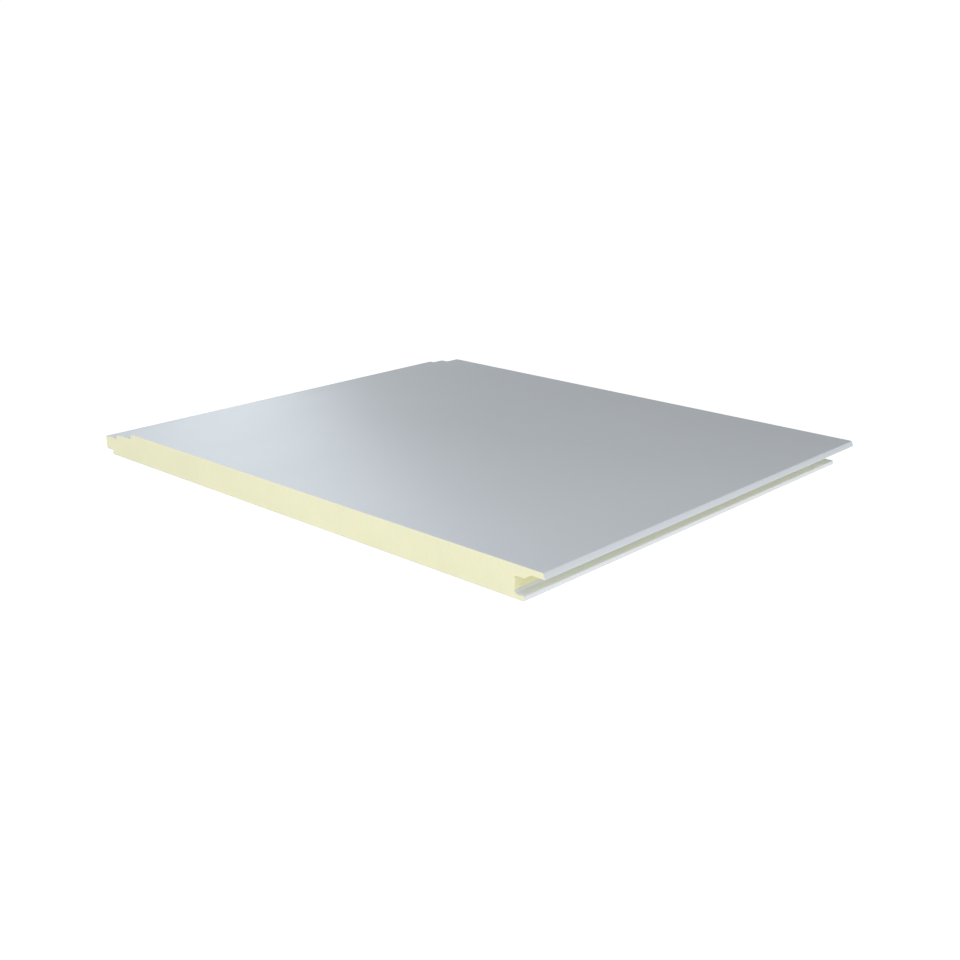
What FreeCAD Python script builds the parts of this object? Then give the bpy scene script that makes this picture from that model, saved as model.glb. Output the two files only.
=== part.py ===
"""Insulated sandwich panel: two roll-formed steel facings bonded to a rigid foam core.

The panel lies flat with its outer face up. X runs across it, from the tongue edge (-X) to the
groove edge (+X), Y runs along the cut length, and the origin is on the floor under its middle.
The joint's section is drawn in two directions: "across", from the tongue's nose towards the
groove, and "up", from the inner face. Both facings and the core take their corners from the
same lists, so the sheets lie on the foam face to face, whatever their sizes are.
"""

import FreeCAD, Part
import math
import os
from types import SimpleNamespace

import Sketcher

Vector = FreeCAD.Vector

# Driving dimensions, in millimetres.
DRIVING_SIZES = {
    # the panel
    "cover_width": 1200.0,       # one panel's pitch in the finished wall or roof
    "cut_length": 1005.0,
    "panel_depth": 60.0,         # outer face to inner face
    "outer_sheet": 0.6,          # steel thickness
    "inner_sheet": 0.5,
    "fold_radius": 2.0,          # inside radius of the folds that have none of their own
    # the groove edge
    "groove_reach": 64.0,        # upper lip's edge to the groove's back wall
    "lip_depth": 11.5,           # outer face to the underside of the lip's hem
    "lip_lean": 4.5,             # the lip's edge stands out this much further at its foot
    "hem_width": 16.0,
    "hem_radius": 1.0,           # inside radius of the tighter fold at the lip's foot
    "shoulder_reach": 31.0,      # upper lip's edge to the shoulder behind it
    "shoulder_run": 12.0,
    "roof_depth": 20.0,          # outer face to the groove's roof
    "lower_lip_reach": 21.5,     # groove's back wall to the lower lip's edge
    "lower_lip_depth": 9.0,
    "upstand": 5.5,              # the inner facing turns up the back wall by this much
    "upstand_radius": 4.0,       # inside radius of that wider fold
    "foam_radius": 1.5,          # bare corners of the foam in the groove
    # the tongue edge
    "recess_opening": 42.0,      # recess in sight between the face and the next panel's lip
    "recess_bearing": 15.0,      # recess floor under the next panel's lip
    "recess_step_run": 8.0,
    "tongue_step_run": 6.0,
    "tongue_reach": 24.5,        # the tongue stands out this far past the inner face
    "nose_radius": 3.5,
    "nose_wrap": 7.0,            # depth of the outer facing's turned-down edge on the nose
    "nose_foot_radius": 2.0,
    "return_margin": 4.0,        # bare foam between the nose and the inner facing's return
    # clearances of a closed joint
    "lip_play": 0.5,             # the lip's hem above the recess floor
    "roof_play": 2.0,            # the tongue's top below the groove's roof
    "floor_play": 0.5,           # the tongue's underside above the lower lip
    "nose_play": 2.0,            # the tongue's nose to the groove's back wall
}


class Size:
    """A length that carries its number and the spreadsheet formula that drives it."""

    def __init__(self, number, formula):
        self.number = number
        self.formula = formula

    def __add__(self, other):
        return Size(self.number + other.number, f"{self.formula} + {other.formula}")

    def __sub__(self, other):
        return Size(self.number - other.number, f"{self.formula} - ({other.formula})")


def make_sheet(doc):
    """Write the driving dimensions to a spreadsheet and return them as named Sizes."""
    sheet = doc.addObject("Spreadsheet::Sheet", "Sizes")
    for row, (name, value) in enumerate(DRIVING_SIZES.items(), start=1):
        sheet.set(f"A{row}", name)
        sheet.set(f"B{row}", str(value))
        sheet.setAlias(f"B{row}", name)
    doc.recompute()
    sizes = {name: Size(value, f"Sizes.{name}") for name, value in DRIVING_SIZES.items()}
    return SimpleNamespace(**sizes)


# The section: each corner is (across, up, radius), and a corner without a radius is sharp.


def section_levels(s):
    """Places that more than one piece of the section uses."""
    lip_edge = s.cover_width + s.groove_reach - s.nose_play
    next_lip_edge = s.groove_reach - s.nose_play
    return SimpleNamespace(
        lip_edge=lip_edge,
        groove_wall=lip_edge - s.groove_reach,
        face_edge=next_lip_edge + s.recess_opening,
        recess_end=next_lip_edge - s.recess_bearing,
        face_up=s.panel_depth - s.outer_sheet,
        hem_up=s.panel_depth - s.lip_depth + s.outer_sheet,
        recess_up=s.panel_depth - s.lip_depth - s.lip_play - s.outer_sheet,
        roof_up=s.panel_depth - s.roof_depth,
        tongue_up=s.panel_depth - s.roof_depth - s.roof_play - s.outer_sheet,
        underside_up=s.lower_lip_depth + s.floor_play + s.inner_sheet,
        lower_lip_up=s.lower_lip_depth - s.inner_sheet,
    )


def outer_facing_corners(s, at):
    """Foam side of the outer facing, from its edge on the nose to the end of the lip's hem."""
    outward = s.fold_radius
    inward = s.fold_radius + s.outer_sheet
    return [
        (s.outer_sheet, at.tongue_up - s.nose_wrap, None),
        (s.outer_sheet, at.tongue_up, s.nose_radius),
        (at.recess_end - s.tongue_step_run, at.tongue_up, inward),
        (at.recess_end, at.recess_up, outward),
        (at.face_edge - s.recess_step_run, at.recess_up, inward),
        (at.face_edge, at.face_up, outward),
        (at.lip_edge - s.lip_lean - s.outer_sheet, at.face_up, outward),
        (at.lip_edge - s.outer_sheet, at.hem_up, s.hem_radius),
        (at.lip_edge - s.hem_width, at.hem_up, None),
    ]


def inner_facing_corners(s, at):
    """Foam side of the inner facing, from its upstand in the groove to its return at the nose."""
    outward = s.fold_radius
    inward = s.fold_radius + s.inner_sheet
    lower_lip_edge = at.groove_wall + s.lower_lip_reach - s.inner_sheet
    rebate_wall = s.tongue_reach + s.inner_sheet
    return [
        (at.groove_wall, s.lower_lip_depth + s.upstand, None),
        (at.groove_wall, at.lower_lip_up, s.upstand_radius + s.inner_sheet),
        (lower_lip_edge, at.lower_lip_up, outward),
        (lower_lip_edge, s.inner_sheet, outward),
        (rebate_wall, s.inner_sheet, outward),
        (rebate_wall, at.underside_up, inward),
        (s.return_margin, at.underside_up, None),
    ]


def foam_corners(s, at):
    """Outline of the core: along both facings, and bare in the groove and on the nose."""
    shoulder = at.lip_edge - s.shoulder_reach
    groove = [
        (shoulder, at.hem_up, s.foam_radius),
        (shoulder - s.shoulder_run, at.roof_up, s.foam_radius),
        (at.groove_wall, at.roof_up, s.foam_radius),
    ]
    nose_foot = [(s.outer_sheet, at.underside_up, s.nose_foot_radius)]
    # The sheets' free ends lie on straight runs of the foam, so they aren't corners of it.
    along_outer_facing = outer_facing_corners(s, at)[1:-1]
    along_inner_facing = inner_facing_corners(s, at)[1:-1]
    return along_outer_facing + groove + along_inner_facing + nose_foot


def corner_arc(before, corner, after, radius):
    """The arc that rounds a corner, and whether the outline turns left there."""
    way_in = (corner - before).normalize()
    way_out = (after - corner).normalize()
    left = way_in.cross(way_out).z > 0
    turn = way_in.getAngle(way_out)
    setback = radius * math.tan(turn / 2)
    entry = corner - way_in * setback
    leave = corner + way_out * setback
    to_centre = Vector(-way_in.y, way_in.x, 0) * (radius if left else -radius)
    centre = entry + to_centre
    first, last = (entry, leave) if left else (leave, entry)
    start = math.atan2(first.y - centre.y, first.x - centre.x)
    end = math.atan2(last.y - centre.y, last.x - centre.x)
    arc = Part.ArcOfCircle(Part.Circle(centre, Vector(0, 0, 1), radius), start, end)
    return arc, left, entry, leave


def drive(sketch, constraint, size):
    """Add a constraint and bind it to the spreadsheet."""
    index = sketch.addConstraint(constraint)
    name = f"size_{index}"
    sketch.renameConstraint(index, name)
    sketch.setExpression(f"Constraints.{name}", size.formula)


def place(sketch, geometry, end, across, up):
    """Hold one point of the sketch at its driven place."""
    drive(sketch, Sketcher.Constraint("DistanceX", -1, 1, geometry, end, across.number), across)
    drive(sketch, Sketcher.Constraint("DistanceY", -1, 1, geometry, end, up.number), up)


def draw_section(sketch, corners, closed):
    """Draw an outline of straight runs and rounded corners, fully driven by its corners."""
    points = [Vector(across.number, up.number, 0) for across, up, _ in corners]
    count = len(corners)
    arcs = {}
    starts, ends = list(points), list(points)
    for i, (_, _, radius) in enumerate(corners):
        if radius is not None:
            before, after = points[i - 1], points[(i + 1) % count]
            arc, left, entry, leave = corner_arc(before, points[i], after, radius.number)
            arcs[i] = (arc, left)
            ends[i], starts[i] = entry, leave
    # The straight runs come before the arcs, because the sketch's first line gives the whole
    # path its direction, and a facing lies on the left of its path.
    runs = {}
    for i in range(count if closed else count - 1):
        run = Part.LineSegment(starts[i], ends[(i + 1) % count])
        runs[i] = sketch.addGeometry(run, False)
    arcs = {i: (sketch.addGeometry(arc, False), left) for i, (arc, left) in arcs.items()}
    for i, (across, up, radius) in enumerate(corners):
        run_in = runs.get((i - 1) % count)
        run_out = runs.get(i)
        if radius is not None:
            round_corner(sketch, run_in, run_out, arcs[i], radius)
            point = sketch.addGeometry(Part.Point(points[i]), True)
            sketch.addConstraint(Sketcher.Constraint("PointOnObject", point, 1, run_in))
            sketch.addConstraint(Sketcher.Constraint("PointOnObject", point, 1, run_out))
            place(sketch, point, 1, across, up)
        elif run_out is None:
            place(sketch, run_in, 2, across, up)
        else:
            if run_in is not None:
                sketch.addConstraint(Sketcher.Constraint("Coincident", run_in, 2, run_out, 1))
            place(sketch, run_out, 1, across, up)


def round_corner(sketch, run_in, run_out, arc_and_turn, radius):
    """Join two runs by their arc, tangent to both, at a driven radius."""
    arc, left = arc_and_turn
    entry, leave = (1, 2) if left else (2, 1)
    sketch.addConstraint(Sketcher.Constraint("Tangent", run_in, 2, arc, entry))
    sketch.addConstraint(Sketcher.Constraint("Tangent", arc, leave, run_out, 1))
    drive(sketch, Sketcher.Constraint("Radius", arc, radius.number), radius)


def middle(at):
    """Formula for where the section starts: half the panel's whole width to the left."""
    return f"-({at.lip_edge.formula}) / 2"


def make_facing(doc, name, corners, thickness, at):
    """A folded sheet: its foam side as a path, thickened outwards and run along the panel."""
    path = doc.addObject("Sketcher::SketchObject", f"{name}_path")
    path.Placement = FreeCAD.Placement(Vector(), FreeCAD.Rotation(Vector(1, 0, 0), 90))
    path.setExpression("Placement.Base.x", middle(at))
    draw_section(path, corners, closed=False)
    doc.recompute()
    section = doc.addObject("Part::Offset2D", f"{name}_section")
    section.Source = path
    section.Mode = "Skin"
    section.Join = "Arc"
    section.Fill = True
    section.setExpression("Value", thickness.formula)  # to the left of the path
    facing = doc.addObject("Part::Extrusion", name)
    facing.Base = section
    facing.DirMode = "Custom"
    facing.Dir = Vector(0, 1, 0)
    facing.Symmetric = True
    facing.Solid = True
    facing.setExpression("LengthFwd", "Sizes.cut_length")
    facing.Label = name
    return facing


def make_core(doc, s, at):
    """The foam core: one closed section, padded along the panel."""
    body = doc.addObject("PartDesign::Body", "foam_core")
    body.Label = "foam_core"
    body.setExpression("Placement.Base.x", middle(at))
    section = body.newObject("Sketcher::SketchObject", "foam_section")
    plane = next(f for f in body.Origin.OriginFeatures if f.Role == "XZ_Plane")
    section.AttachmentSupport = [(plane, "")]
    section.MapMode = "FlatFace"
    doc.recompute()
    draw_section(section, foam_corners(s, at), closed=True)
    doc.recompute()
    core = body.newObject("PartDesign::Pad", "foam_length")
    core.Profile = section
    core.SideType = "Symmetric"
    core.setExpression("Length", "Sizes.cut_length")
    return body


def check(doc, parts):
    """Stop on a failed feature, a loose sketch or a piece that isn't one valid solid."""
    for item in doc.Objects:
        if "Invalid" in item.State or "Error" in item.State:
            raise RuntimeError(f"{item.Name} failed: {item.State}")
        if item.isDerivedFrom("Sketcher::SketchObject") and not item.FullyConstrained:
            raise RuntimeError(f"{item.Name} isn't fully constrained")
    for part in parts:
        shape = part.Shape
        if shape.isNull() or not shape.isValid() or len(shape.Solids) != 1:
            raise RuntimeError(f"{part.Label} isn't one valid solid")


def main():
    doc = FreeCAD.newDocument("SandwichPanel")
    s = make_sheet(doc)
    at = section_levels(s)
    parts = [
        make_facing(doc, "outer_facing", outer_facing_corners(s, at), s.outer_sheet, at),
        make_facing(doc, "inner_facing", inner_facing_corners(s, at), s.inner_sheet, at),
        make_core(doc, s, at),
    ]
    doc.recompute()
    check(doc, parts)
    os.makedirs("parts", exist_ok=True)
    for part in parts:
        part.Shape.exportStep(f"parts/{part.Label}.step")
        box = part.Shape.BoundBox
        size = f"{box.XLength:.2f} x {box.YLength:.2f} x {box.ZLength:.2f} mm"
        print(f"{part.Label}: {size}, {part.Shape.Volume / 1e3:.1f} cm3")


main()
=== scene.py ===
"""Looks of the insulated sandwich panel: finely folded steel facings on a cut foam core.

Everything is in metres, in the CAD model's frame: X across the panel from the tongue edge to
the groove edge, Y along its cut length, Z up, with the floor at zero.
"""

import math
from types import SimpleNamespace

import bmesh
import bpy
from mathutils import Matrix, Vector, noise


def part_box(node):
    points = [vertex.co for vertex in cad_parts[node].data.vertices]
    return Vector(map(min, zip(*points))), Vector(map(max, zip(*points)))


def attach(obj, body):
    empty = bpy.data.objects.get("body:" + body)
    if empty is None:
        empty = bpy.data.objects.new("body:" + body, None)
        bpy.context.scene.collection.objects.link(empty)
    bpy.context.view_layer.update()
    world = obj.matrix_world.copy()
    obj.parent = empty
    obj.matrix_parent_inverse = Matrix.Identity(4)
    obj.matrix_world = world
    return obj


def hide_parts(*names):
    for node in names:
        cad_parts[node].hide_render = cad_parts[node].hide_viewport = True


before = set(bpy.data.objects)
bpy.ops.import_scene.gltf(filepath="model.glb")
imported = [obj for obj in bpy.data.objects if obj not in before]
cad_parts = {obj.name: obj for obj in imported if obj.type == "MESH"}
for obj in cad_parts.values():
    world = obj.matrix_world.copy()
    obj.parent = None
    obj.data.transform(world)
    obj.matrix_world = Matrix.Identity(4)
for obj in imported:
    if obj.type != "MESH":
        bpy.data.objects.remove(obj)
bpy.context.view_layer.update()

MM = 0.001

# The joint's section, in millimetres, as the CAD model has it.
FOLD_RADIUS = 2.0
OUTER_SHEET = 0.6
INNER_SHEET = 0.5
PANEL_DEPTH = 60.0
COVER_WIDTH = 1200.0
GROOVE_REACH = 64.0
LIP_DEPTH = 11.5
LIP_LEAN = 4.5
HEM_WIDTH = 16.0
HEM_RADIUS = 1.0
SHOULDER_REACH = 31.0
SHOULDER_RUN = 12.0
ROOF_DEPTH = 20.0
LOWER_LIP_REACH = 21.5
LOWER_LIP_DEPTH = 9.0
UPSTAND = 5.5
UPSTAND_RADIUS = 4.0
FOAM_RADIUS = 1.5
RECESS_OPENING = 42.0
RECESS_BEARING = 15.0
RECESS_STEP_RUN = 8.0
TONGUE_STEP_RUN = 6.0
TONGUE_REACH = 24.5
NOSE_RADIUS = 3.5
NOSE_WRAP = 7.0
NOSE_FOOT_RADIUS = 2.0
RETURN_MARGIN = 4.0
LIP_PLAY = 0.5
ROOF_PLAY = 2.0
FLOOR_PLAY = 0.5
NOSE_PLAY = 2.0

CAD_LOW, CAD_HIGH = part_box("outer_facing")
TONGUE_TIP_X = CAD_LOW.x
PANEL_TOP = CAD_HIGH.z
END_NEAR, END_FAR = CAD_LOW.y, CAD_HIGH.y

ARC_STEP = math.radians(7.5)         # how finely a fold's arc is divided
SHARP_ANGLE = math.radians(30)       # edges that turn more than this stay sharp

# The foam's sawn ends: a fine grid, set back from the sheets' edges by the mean depth and
# the marks on it, each as depth in millimetres, features per metre in X and Z, and layer.
FOAM_CELL = 2.5 * MM
MEAN_CUT_DEPTH = 0.22
CUT_MARKS = (
    (0.08, 22, 60, 0),        # slow tears
    (0.06, 260, 14, 9),       # upright marks of the saw
    (0.05, 700, 700, 4),      # cells
)
NEAR_SEED, FAR_SEED = 1.0, 5.0

# Finishes. Tones are pairs that a slow noise mixes.
OUTER_COATING = dict(tones=((0.525, 0.56, 0.595), (0.535, 0.57, 0.605)), roughness=0.318, specular=0.5)
# Painted light: the inner coating is lighter and bluer than the outer one, so that the shaded lower
# lip in the groove reads lighter and less yellow.
INNER_COATING_WITH_PAINTED_LIGHT = dict(tones=((0.60, 0.625, 0.67), (0.61, 0.635, 0.68)), roughness=0.6, specular=0.3)
COATING_IOR = 1.5
GLOSS_CHANGE = 0.015          # how far a coating's roughness strays from its mean
SHEARED_TONES = (0.56, 0.57, 0.58), (0.72, 0.73, 0.74)
SAWN_TONES = (0.69, 0.68, 0.475), (0.715, 0.705, 0.495)
# Partly painted light: the moulded skin is yellower than the sawn foam, and it is also made lighter so
# that the shaded groove reads lighter and throws more light onto the lower lip.
MOULDED_TONES_WITH_PAINTED_LIGHT = (0.735, 0.725, 0.46), (0.79, 0.78, 0.50)
FLOOR_TONES = (0.24, 0.24, 0.24), (0.26, 0.26, 0.26)
PEEL_HEIGHT = 0.01 * MM       # heights of the bumps in the finishes
SAW_MARK_HEIGHT = 0.12 * MM
CELL_HEIGHT = 0.15 * MM
RIPPLE_HEIGHT = 0.15 * MM
NOISE_CORE = (0.35, 0.65)     # where most of a fine or detailed noise lies
NOISE_WIDE = (0.3, 0.7)       # where nearly all of it lies

# Studio. Distances in metres, from the frame's origin.
FLOOR_SIZE = 60
NEAR_GLOW, FAR_GLOW = 0.88, 0.965
GLOW_RISE = (1.0, 4.5)        # distances between which the floor's glow rises
SKY_LIGHT = 0.30              # even light from above
HORIZON_LIGHT = 0.74          # what the pale band round the horizon adds to it
HORIZON_TOP = 0.2             # sine of the elevation where that band has faded
HORIZON_FADE = HORIZON_TOP / 3   # and where it begins to fade
UPRIGHT = (0, 0, 1)
SOFT_LIGHTS = {
    "key": dict(place=(0.2, -4.0, 0.9), target=(0, -0.5, 0), upright=UPRIGHT,
                width=2.4, height=1.2, power=53),
    "groove_fill": dict(place=(3.6, -0.6, 0.9), target=(0.6, 0, 0), upright=UPRIGHT,
                        width=2.4, height=1.2, power=12),
    "lip_fill": dict(place=(3.4, -0.3, 1.75), target=(0.6, 0, 0), upright=UPRIGHT,
                     width=2.4, height=1.0, power=45),
    "near_edge": dict(place=(0.35, -0.85, 1.15), target=(0.3, -0.5, 0), upright=(0, 1, 0),
                      width=0.8, height=0.8, power=3.2),
    "left_card": dict(place=(-2.88, 0.635, 2.17), target=(-2.34, -3.71, 0.06),
                      upright=(0.837, -0.152, 0.526), width=3.66, height=2.95, power=51,
                      colour=(0.921, 1.0, 1.064)),
}

# Camera: its way out from the near top corner, and where it looks, in degrees.
CAMERA_DISTANCE = 0.7552
CAMERA_WAY = Vector((1.5762, -1.8874, 1.0))
CAMERA_TILT, CAMERA_HEADING = 71.997, 42.897
LENS, SENSOR_WIDTH = 48.04, 36.0


# ---------------------------------------------------------------- section of the joint


def section_levels():
    """Places across the panel, from the tongue's nose, and above the inner face."""
    lip_edge = COVER_WIDTH + GROOVE_REACH - NOSE_PLAY
    next_lip_edge = GROOVE_REACH - NOSE_PLAY
    return SimpleNamespace(
        lip_edge=lip_edge,
        groove_wall=lip_edge - GROOVE_REACH,
        face_edge=next_lip_edge + RECESS_OPENING,
        recess_end=next_lip_edge - RECESS_BEARING,
        face_up=PANEL_DEPTH - OUTER_SHEET,
        hem_up=PANEL_DEPTH - LIP_DEPTH + OUTER_SHEET,
        recess_up=PANEL_DEPTH - LIP_DEPTH - LIP_PLAY - OUTER_SHEET,
        roof_up=PANEL_DEPTH - ROOF_DEPTH,
        tongue_up=PANEL_DEPTH - ROOF_DEPTH - ROOF_PLAY - OUTER_SHEET,
        underside_up=LOWER_LIP_DEPTH + FLOOR_PLAY + INNER_SHEET,
        lower_lip_up=LOWER_LIP_DEPTH - INNER_SHEET,
    )


def outer_facing_corners(at):
    """Foam side of the outer facing: (across, up, radius), from the nose to the hem's end."""
    inward = FOLD_RADIUS + OUTER_SHEET
    return [
        (OUTER_SHEET, at.tongue_up - NOSE_WRAP, None),
        (OUTER_SHEET, at.tongue_up, NOSE_RADIUS),
        (at.recess_end - TONGUE_STEP_RUN, at.tongue_up, inward),
        (at.recess_end, at.recess_up, FOLD_RADIUS),
        (at.face_edge - RECESS_STEP_RUN, at.recess_up, inward),
        (at.face_edge, at.face_up, FOLD_RADIUS),
        (at.lip_edge - LIP_LEAN - OUTER_SHEET, at.face_up, FOLD_RADIUS),
        (at.lip_edge - OUTER_SHEET, at.hem_up, HEM_RADIUS),
        (at.lip_edge - HEM_WIDTH, at.hem_up, None),
    ]


def inner_facing_corners(at):
    """Foam side of the inner facing, from its upstand in the groove to its return at the nose."""
    lower_lip_edge = at.groove_wall + LOWER_LIP_REACH - INNER_SHEET
    rebate_wall = TONGUE_REACH + INNER_SHEET
    return [
        (at.groove_wall, LOWER_LIP_DEPTH + UPSTAND, None),
        (at.groove_wall, at.lower_lip_up, UPSTAND_RADIUS + INNER_SHEET),
        (lower_lip_edge, at.lower_lip_up, FOLD_RADIUS),
        (lower_lip_edge, INNER_SHEET, FOLD_RADIUS),
        (rebate_wall, INNER_SHEET, FOLD_RADIUS),
        (rebate_wall, at.underside_up, FOLD_RADIUS + INNER_SHEET),
        (RETURN_MARGIN, at.underside_up, None),
    ]


def foam_corners(at):
    """Outline of the core: along both facings, and bare in the groove and on the nose."""
    shoulder = at.lip_edge - SHOULDER_REACH
    groove = [
        (shoulder, at.hem_up, FOAM_RADIUS),
        (shoulder - SHOULDER_RUN, at.roof_up, FOAM_RADIUS),
        (at.groove_wall, at.roof_up, FOAM_RADIUS),
    ]
    nose_foot = [(OUTER_SHEET, at.underside_up, NOSE_FOOT_RADIUS)]
    along_outer_facing = outer_facing_corners(at)[1:-1]
    along_inner_facing = inner_facing_corners(at)[1:-1]
    return along_outer_facing + groove + along_inner_facing + nose_foot


def to_frame(across, up):
    """A point of the section, in the frame's X and Z."""
    return Vector((TONGUE_TIP_X + across * MM, up * MM))


def left_of(direction):
    """The direction a quarter turn to the left."""
    return Vector((-direction.y, direction.x))


def corner_points(before, corner, after, radius):
    """Points round a corner's arc, each with its normal to the left of the line."""
    way_in = (corner - before).normalized()
    way_out = (after - corner).normalized()
    turn = math.atan2(way_in.cross(way_out), way_in.dot(way_out))
    setback = radius * math.tan(abs(turn) / 2)
    side = math.copysign(1.0, turn)
    centre = corner - way_in * setback + left_of(way_in) * radius * side
    steps = max(2, math.ceil(abs(turn) / ARC_STEP))
    points = []
    for step in range(steps + 1):
        angle = turn * step / steps
        heading = Vector((
            way_in.x * math.cos(angle) - way_in.y * math.sin(angle),
            way_in.x * math.sin(angle) + way_in.y * math.cos(angle),
        ))
        normal = left_of(heading)
        points.append((centre - normal * radius * side, normal))
    return points


def trace(corners, closed):
    """A section line with its corners rounded, as points with their normals to the left."""
    places = [to_frame(across, up) for across, up, _ in corners]
    count = len(corners)
    line = []
    for i, (_, _, radius) in enumerate(corners):
        before, after = places[i - 1], places[(i + 1) % count]
        if radius is not None:
            line += corner_points(before, places[i], after, radius * MM)
        elif not closed and i == 0:
            line.append((places[i], left_of((after - places[i]).normalized())))
        else:
            line.append((places[i], left_of((places[i] - before).normalized())))
    return line


# ---------------------------------------------------------------- pieces


def new_piece(name, mesh_data, materials, node):
    """Link a finished mesh, give it its materials, and let it stand for its CAD node."""
    piece = bpy.data.objects.new(name, mesh_data)
    bpy.context.scene.collection.objects.link(piece)
    for material in materials:
        mesh_data.materials.append(material)
    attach(piece, "root")
    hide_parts(node)


PAINT, CUT_EDGE = 0, 1


def facing_mesh(name, corners, thickness):
    """A folded sheet of even thickness, run along the panel, with its cut edges marked."""
    line = trace(corners, closed=False)
    foam_side = [point for point, _ in line]
    weather_side = [point + normal * thickness * MM for point, normal in line]
    loop = weather_side + foam_side[::-1]
    count, last = len(loop), len(line) - 1
    mesh_data = bmesh.new()
    near = [mesh_data.verts.new((p.x, END_NEAR, p.y)) for p in loop]
    far = [mesh_data.verts.new((p.x, END_FAR, p.y)) for p in loop]
    for i in range(count):
        j = (i + 1) % count
        face = mesh_data.faces.new((near[i], near[j], far[j], far[i]))
        face.material_index = CUT_EDGE if i in (last, count - 1) else PAINT
        face.smooth = True
    for i in range(last):
        foam_i = count - 1 - i
        for ring in (near, far):
            face = mesh_data.faces.new((ring[i], ring[i + 1], ring[foam_i - 1], ring[foam_i]))
            face.material_index = CUT_EDGE
    return finish_mesh(name, mesh_data)


def finish_mesh(name, mesh_data):
    """Turn the faces outwards, and write a mesh that is smooth except at sharp edges."""
    bmesh.ops.recalc_face_normals(mesh_data, faces=mesh_data.faces)
    result = bpy.data.meshes.new(name)
    mesh_data.to_mesh(result)
    mesh_data.free()
    result.set_sharp_from_angle(angle=SHARP_ANGLE)
    return result


CUT_FOAM, MOULDED_FOAM = 0, 1


def cut_into_grid(mesh_data, axis, low, high, step):
    """Split every face of a flat section along evenly spaced lines across an axis."""
    normal = Vector((0, 0, 0))
    normal[axis] = 1
    for i in range(1, math.ceil((high - low) / step)):
        place = normal * (low + i * step)
        geometry = mesh_data.verts[:] + mesh_data.edges[:] + mesh_data.faces[:]
        bmesh.ops.bisect_plane(mesh_data, geom=geometry, plane_co=place, plane_no=normal)


def sawn_depth(x, z, seed):
    """How far the saw has left the foam below the sheets' edges at a place of the section."""
    depth = MEAN_CUT_DEPTH
    for reach, per_x, per_z, layer in CUT_MARKS:
        depth += reach * noise.noise(Vector((x * per_x, z * per_z, seed + layer)))
    return depth * MM


def foam_mesh(name, corners):
    """The core: smooth where it was moulded, and slightly rough where the saw cut it."""
    outline = [point for point, _ in trace(corners, closed=True)]
    mesh_data = bmesh.new()
    mesh_data.faces.new([mesh_data.verts.new((p.x, END_NEAR, p.y)) for p in outline])
    across = [p.x for p in outline]
    up = [p.y for p in outline]
    cut_into_grid(mesh_data, 0, min(across), max(across), FOAM_CELL)
    cut_into_grid(mesh_data, 2, min(up), max(up), FOAM_CELL)
    near_faces = mesh_data.faces[:]
    grown = bmesh.ops.extrude_face_region(mesh_data, geom=near_faces, use_keep_orig=True)["geom"]
    far_faces = [item for item in grown if isinstance(item, bmesh.types.BMFace)]
    far_verts = [item for item in grown if isinstance(item, bmesh.types.BMVert)]
    bmesh.ops.translate(mesh_data, verts=far_verts, vec=(0, END_FAR - END_NEAR, 0))
    cut_faces = set(near_faces) | set(far_faces)
    for face in mesh_data.faces:
        face.material_index = CUT_FOAM if face in cut_faces else MOULDED_FOAM
        face.smooth = True
    for vert in mesh_data.verts:
        is_far = vert.co.y > 0
        depth = sawn_depth(vert.co.x, vert.co.z, FAR_SEED if is_far else NEAR_SEED)
        vert.co.y += -depth if is_far else depth
    return finish_mesh(name, mesh_data)


# ---------------------------------------------------------------- materials


def new_material(name):
    """A new node material, with its node tree and its shader."""
    material = bpy.data.materials.new(name)
    material.use_nodes = True
    tree = material.node_tree
    shader = tree.nodes["Principled BSDF"]
    return material, tree, shader


def add_noise(tree, scale, detail=2.0, roughness=0.5, stretch=(1, 1, 1)):
    """Noise over the object's own coordinates, in features per metre."""
    place = tree.nodes.new("ShaderNodeTexCoord")
    mapping = tree.nodes.new("ShaderNodeMapping")
    mapping.inputs["Scale"].default_value = stretch
    texture = tree.nodes.new("ShaderNodeTexNoise")
    texture.inputs["Scale"].default_value = scale
    texture.inputs["Detail"].default_value = detail
    texture.inputs["Roughness"].default_value = roughness
    tree.links.new(place.outputs["Object"], mapping.inputs["Vector"])
    tree.links.new(mapping.outputs["Vector"], texture.inputs["Vector"])
    return texture.outputs["Fac"]


def add_range(tree, value, low, high, to_low, to_high):
    """Map a value from one range to another."""
    node = tree.nodes.new("ShaderNodeMapRange")
    node.inputs["From Min"].default_value = low
    node.inputs["From Max"].default_value = high
    node.inputs["To Min"].default_value = to_low
    node.inputs["To Max"].default_value = to_high
    tree.links.new(value, node.inputs["Value"])
    return node.outputs["Result"]


MIX_FIRST, MIX_SECOND, MIX_RESULT = 6, 7, 2      # the Mix node's colour sockets


def add_mix(tree, factor, tones):
    """Mix a pair of colours by a factor."""
    node = tree.nodes.new("ShaderNodeMix")
    node.data_type = "RGBA"
    tree.links.new(factor, node.inputs["Factor"])
    first, second = tones
    node.inputs[MIX_FIRST].default_value = (*first, 1)
    node.inputs[MIX_SECOND].default_value = (*second, 1)
    return node.outputs[MIX_RESULT]


def add_shade(tree, colour, factor):
    """Make a colour brighter or darker by a factor."""
    node = tree.nodes.new("ShaderNodeHueSaturation")
    tree.links.new(colour, node.inputs["Color"])
    tree.links.new(factor, node.inputs["Value"])
    return node.outputs["Color"]


def add_bump(tree, height, distance, under=None):
    """Turn a height into a normal, over another bump's normal if there is one."""
    node = tree.nodes.new("ShaderNodeBump")
    node.inputs["Distance"].default_value = distance
    node.inputs["Strength"].default_value = 1.0
    tree.links.new(height, node.inputs["Height"])
    if under is not None:
        tree.links.new(under, node.inputs["Normal"])
    return node.outputs["Normal"]


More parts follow.
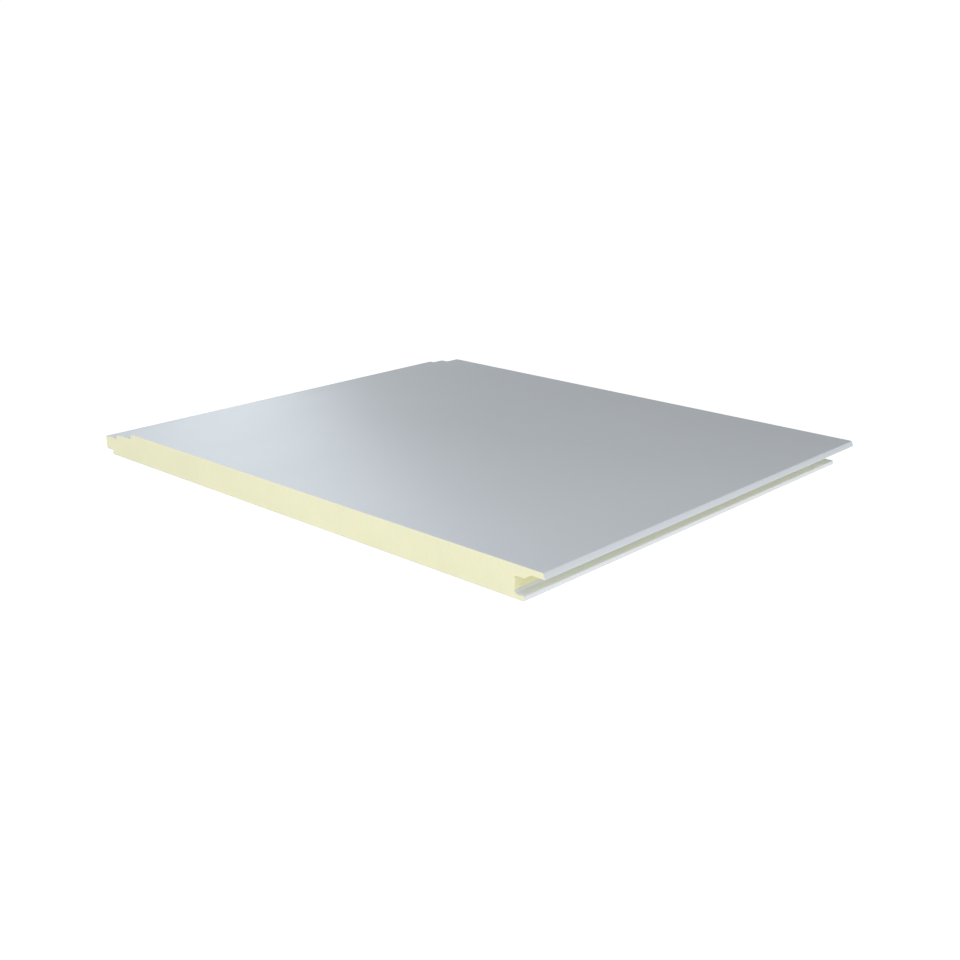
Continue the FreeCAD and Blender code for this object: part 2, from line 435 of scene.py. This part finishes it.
def coated_steel(name, tones, roughness, specular):
    """Coil-coated sheet: an even paint film with a faint orange peel."""
    material, tree, shader = new_material(name)
    cloud = add_range(tree, add_noise(tree, scale=3.0, detail=3), *NOISE_CORE, 0, 1)
    tree.links.new(add_mix(tree, cloud, tones), shader.inputs["Base Color"])
    gloss = add_noise(tree, scale=14.0, detail=3, stretch=(1, 0.25, 1))
    spread = add_range(tree, gloss, *NOISE_WIDE, roughness - GLOSS_CHANGE, roughness + GLOSS_CHANGE)
    tree.links.new(spread, shader.inputs["Roughness"])
    peel = add_noise(tree, scale=420.0, detail=2)
    tree.links.new(add_bump(tree, peel, PEEL_HEIGHT), shader.inputs["Normal"])
    shader.inputs["IOR"].default_value = COATING_IOR
    shader.inputs["Specular IOR Level"].default_value = specular
    return material


def sheared_steel(name):
    """Bare cut edge of galvanised sheet: bright metal with fine shear marks."""
    material, tree, shader = new_material(name)
    marks = add_range(tree, add_noise(tree, scale=900.0, detail=3), *NOISE_WIDE, 0, 1)
    tree.links.new(add_mix(tree, marks, SHEARED_TONES), shader.inputs["Base Color"])
    shader.inputs["Metallic"].default_value = 0.85
    shader.inputs["Roughness"].default_value = 0.42
    return material


def sawn_foam(name):
    """Cut face of rigid foam: fine grain, faint saw marks and slow changes of tone."""
    material, tree, shader = new_material(name)
    cloud = add_range(tree, add_noise(tree, scale=9.0, detail=4), *NOISE_CORE, 0, 1)
    tone = add_mix(tree, cloud, SAWN_TONES)
    saw = add_noise(tree, scale=240.0, detail=2, stretch=(1, 1, 0.06))
    cells = add_noise(tree, scale=1500.0, detail=2, roughness=0.6)
    tone = add_shade(tree, tone, add_range(tree, saw, *NOISE_WIDE, 0.995, 1.005))
    tone = add_shade(tree, tone, add_range(tree, cells, *NOISE_WIDE, 0.94, 1.06))
    tree.links.new(tone, shader.inputs["Base Color"])
    normal = add_bump(tree, saw, SAW_MARK_HEIGHT)
    normal = add_bump(tree, cells, CELL_HEIGHT, under=normal)
    tree.links.new(normal, shader.inputs["Normal"])
    shader.inputs["Roughness"].default_value = 0.95
    shader.inputs["Specular IOR Level"].default_value = 0.2
    return material


def moulded_foam_with_painted_light(name):
    """Skin of the foam where the edge mould shaped it: closed, smoother and yellower, and also painted
    lighter than the sawn foam so that the shaded groove reads lighter.
    """
    material, tree, shader = new_material(name)
    cloud = add_range(tree, add_noise(tree, scale=30.0, detail=4), *NOISE_CORE, 0, 1)
    tone = add_mix(tree, cloud, MOULDED_TONES_WITH_PAINTED_LIGHT)
    ripples = add_noise(tree, scale=260.0, detail=3, stretch=(1, 0.3, 1))
    tone = add_shade(tree, tone, add_range(tree, ripples, *NOISE_WIDE, 0.97, 1.03))
    tree.links.new(tone, shader.inputs["Base Color"])
    tree.links.new(add_bump(tree, ripples, RIPPLE_HEIGHT), shader.inputs["Normal"])
    shader.inputs["Roughness"].default_value = 0.7
    shader.inputs["Specular IOR Level"].default_value = 0.35
    return material


# ---------------------------------------------------------------- studio


def add_card(name, place, target, upright, width, height, power, colour=(1, 1, 1)):
    """A rectangular soft light, aimed at a point, with its sides along a given direction."""
    data = bpy.data.lights.new(name, "AREA")
    data.shape = "RECTANGLE"
    data.size, data.size_y = width, height
    data.energy = power
    data.color = colour
    light = bpy.data.objects.new(name, data)
    backwards = (Vector(place) - Vector(target)).normalized()
    sideways = Vector(upright).cross(backwards).normalized()
    along = backwards.cross(sideways)
    turn = Matrix((sideways, along, backwards)).transposed()
    light.matrix_world = Matrix.Translation(place) @ turn.to_4x4()
    light.visible_camera = False
    bpy.context.scene.collection.objects.link(light)


def add_floor():
    """A wide, pale, matt floor that glows, more so with distance, so that it reads white."""
    bpy.ops.mesh.primitive_plane_add(size=FLOOR_SIZE, location=(0, 0, 0))
    floor = bpy.context.object
    floor.name = "studio_floor"
    material, tree, shader = new_material("pale_floor")
    shade = add_range(tree, add_noise(tree, scale=0.8, detail=2), *NOISE_WIDE, 0, 1)
    tree.links.new(add_mix(tree, shade, FLOOR_TONES), shader.inputs["Base Color"])
    shader.inputs["Roughness"].default_value = 1.0
    shader.inputs["Specular IOR Level"].default_value = 0.0
    shader.inputs["Emission Color"].default_value = (1, 1, 1, 1)
    place = tree.nodes.new("ShaderNodeTexCoord")
    reach = tree.nodes.new("ShaderNodeVectorMath")
    reach.operation = "LENGTH"
    tree.links.new(place.outputs["Object"], reach.inputs[0])
    glow = add_range(tree, reach.outputs["Value"], *GLOW_RISE, NEAR_GLOW, FAR_GLOW)
    tree.links.new(glow, shader.inputs["Emission Strength"])
    floor.data.materials.append(material)


def add_world():
    """An even studio sky, brighter round the horizon."""
    world = bpy.data.worlds.new("studio_world")
    bpy.context.scene.world = world
    world.use_nodes = True
    tree = world.node_tree
    place = tree.nodes.new("ShaderNodeTexCoord")
    split = tree.nodes.new("ShaderNodeSeparateXYZ")
    tree.links.new(place.outputs["Generated"], split.inputs["Vector"])
    band = add_range(tree, split.outputs["Z"], HORIZON_FADE, HORIZON_TOP, HORIZON_LIGHT, 0)
    total = tree.nodes.new("ShaderNodeMath")
    total.operation = "ADD"
    total.inputs[1].default_value = SKY_LIGHT
    tree.links.new(band, total.inputs[0])
    background = tree.nodes["Background"]
    background.inputs["Color"].default_value = (1, 1, 1, 1)
    tree.links.new(total.outputs["Value"], background.inputs["Strength"])


def add_lights():
    """The soft lights round the panel."""
    for name, card in SOFT_LIGHTS.items():
        add_card(name, **card)


def add_camera():
    """Low three-quarter view of the panel's sawn end and groove edge."""
    near_corner = Vector((CAD_HIGH.x - LIP_LEAN * MM, END_NEAR, PANEL_TOP))
    data = bpy.data.cameras.new("camera")
    data.lens = LENS
    data.sensor_width = SENSOR_WIDTH
    camera = bpy.data.objects.new("camera", data)
    camera.location = near_corner + CAMERA_DISTANCE * CAMERA_WAY
    camera.rotation_euler = (math.radians(CAMERA_TILT), 0, math.radians(CAMERA_HEADING))
    bpy.context.scene.collection.objects.link(camera)
    bpy.context.scene.camera = camera


def main():
    """Build the three pieces, and the studio round them."""
    add_camera()
    at = section_levels()
    edge = sheared_steel("sheared_steel")
    outer_paint = coated_steel("outer_coating", **OUTER_COATING)
    # The inner coating carries painted light: it is lighter and bluer than the outer coating, to lift
    # the shaded groove.
    inner_paint_with_painted_light = coated_steel("inner_coating_painted_light", **INNER_COATING_WITH_PAINTED_LIGHT)
    outer = facing_mesh("outer_facing_look", outer_facing_corners(at), OUTER_SHEET)
    new_piece("outer_facing_look", outer, [outer_paint, edge], "outer_facing")
    inner = facing_mesh("inner_facing_look", inner_facing_corners(at), INNER_SHEET)
    new_piece("inner_facing_look", inner, [inner_paint_with_painted_light, edge], "inner_facing")
    foam = foam_mesh("foam_core_look", foam_corners(at))
    foam_finish = [sawn_foam("sawn_foam"), moulded_foam_with_painted_light("moulded_foam_with_painted_light")]
    new_piece("foam_core_look", foam, foam_finish, "foam_core")
    add_floor()
    add_world()
    add_lights()
    bpy.context.scene.view_settings.view_transform = "Standard"


main()
